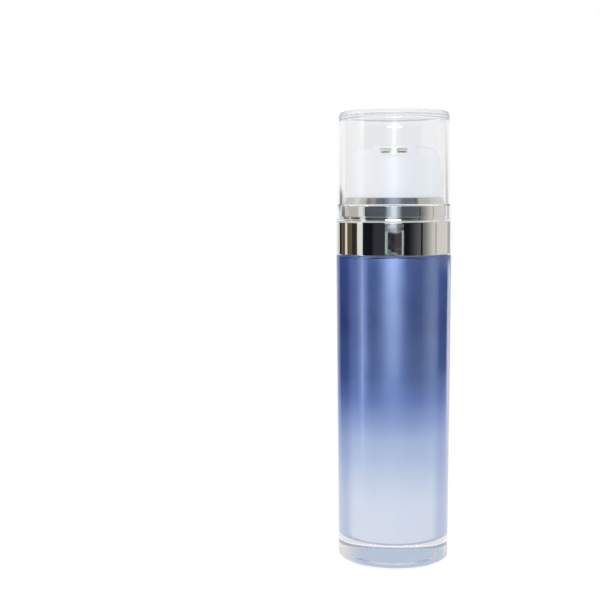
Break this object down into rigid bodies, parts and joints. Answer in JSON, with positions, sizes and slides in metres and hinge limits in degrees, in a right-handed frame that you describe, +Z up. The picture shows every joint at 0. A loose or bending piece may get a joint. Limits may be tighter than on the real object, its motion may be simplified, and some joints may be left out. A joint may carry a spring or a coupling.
{
  "type": "dual-chamber pump bottle",
  "caption": "Slim clear-walled airless pump bottle with side-by-side chambers, one press head with paired outlets, bright two-tier collar and clear lift-off cap.",
  "frame": {"origin": "centre of the foot, on the surface that the bottle stands on", "axes": "+Z up along the bottle's axis; the two outlets face -Y; the two chambers lie side by side along X"},
  "size_m": [0.04, 0.04, 0.1558],
  "materials": {
    "clear_acrylic": "clear polished acrylic",
    "sleeve_lacquer": "metallic blue lacquer fading to pale white at the foot",
    "bright_plating": "mirror-bright plated plastic",
    "white_plastic": "smooth white moulded plastic",
    "outlet_plastic": "beige-grey moulded plastic",
    "natural_plastic": "unpigmented polypropylene",
    "seal_rubber": "soft pale elastomer",
    "spring_steel": "drawn stainless wire",
    "ball_steel": "polished stainless ball"
  },
  "bodies": {
    "bottle": {"outer_bottle": "clear_acrylic", "inner_sleeve": "sleeve_lacquer", "neck_gasket": "seal_rubber", "pump_plate": "natural_plastic", "collar_band": "bright_plating", "shoulder_ring": "bright_plating", "chamber_left": "natural_plastic", "chamber_right": "natural_plastic", "chamber_gasket_left": "seal_rubber", "chamber_gasket_right": "seal_rubber", "pump_housing_left": "natural_plastic", "pump_housing_right": "natural_plastic", "lock_ring_left": "white_plastic", "lock_ring_right": "white_plastic", "return_spring_left": "spring_steel", "return_spring_right": "spring_steel"},
    "cap": {"over_cap": "clear_acrylic"},
    "head": {"actuator_shell": "white_plastic", "actuator_core": "outlet_plastic", "nozzle_insert_left": "outlet_plastic", "nozzle_insert_right": "outlet_plastic", "pump_stem_left": "natural_plastic", "pump_stem_right": "natural_plastic", "stem_seal_left": "seal_rubber", "stem_seal_right": "seal_rubber"},
    "piston_left": {"follower_piston_left": "natural_plastic"},
    "piston_right": {"follower_piston_right": "natural_plastic"},
    "ball_left": {"inlet_ball_left": "ball_steel"},
    "ball_right": {"inlet_ball_right": "ball_steel"}
  },
  "joints": [
    {"name": "cap_lift", "type": "slide", "parent": "bottle", "child": "cap", "axis": [0, 0, 1], "range_m": [0, 0.045]},
    {"name": "head_press", "type": "slide", "parent": "bottle", "child": "head", "axis": [0, 0, -1], "range_m": [0, 0.005], "stiffness_N_per_m": 1200, "springref_m": -0.006, "deforming": ["return_spring_left", "return_spring_right"]},
    {"name": "piston_left_rise", "type": "slide", "parent": "bottle", "child": "piston_left", "axis": [0, 0, 1], "range_m": [0, 0.077]},
    {"name": "piston_right_rise", "type": "slide", "parent": "bottle", "child": "piston_right", "axis": [0, 0, 1], "range_m": [0, 0.077]},
    {"name": "ball_left_lift", "type": "slide", "parent": "bottle", "child": "ball_left", "axis": [0, 0, 1], "range_m": [0, 0.0008]},
    {"name": "ball_right_lift", "type": "slide", "parent": "bottle", "child": "ball_right", "axis": [0, 0, 1], "range_m": [0, 0.0008]}
  ],
  "couplings": [
    {"joint": "piston_right_rise", "follows": "piston_left_rise", "ratio": 1}
  ]
}
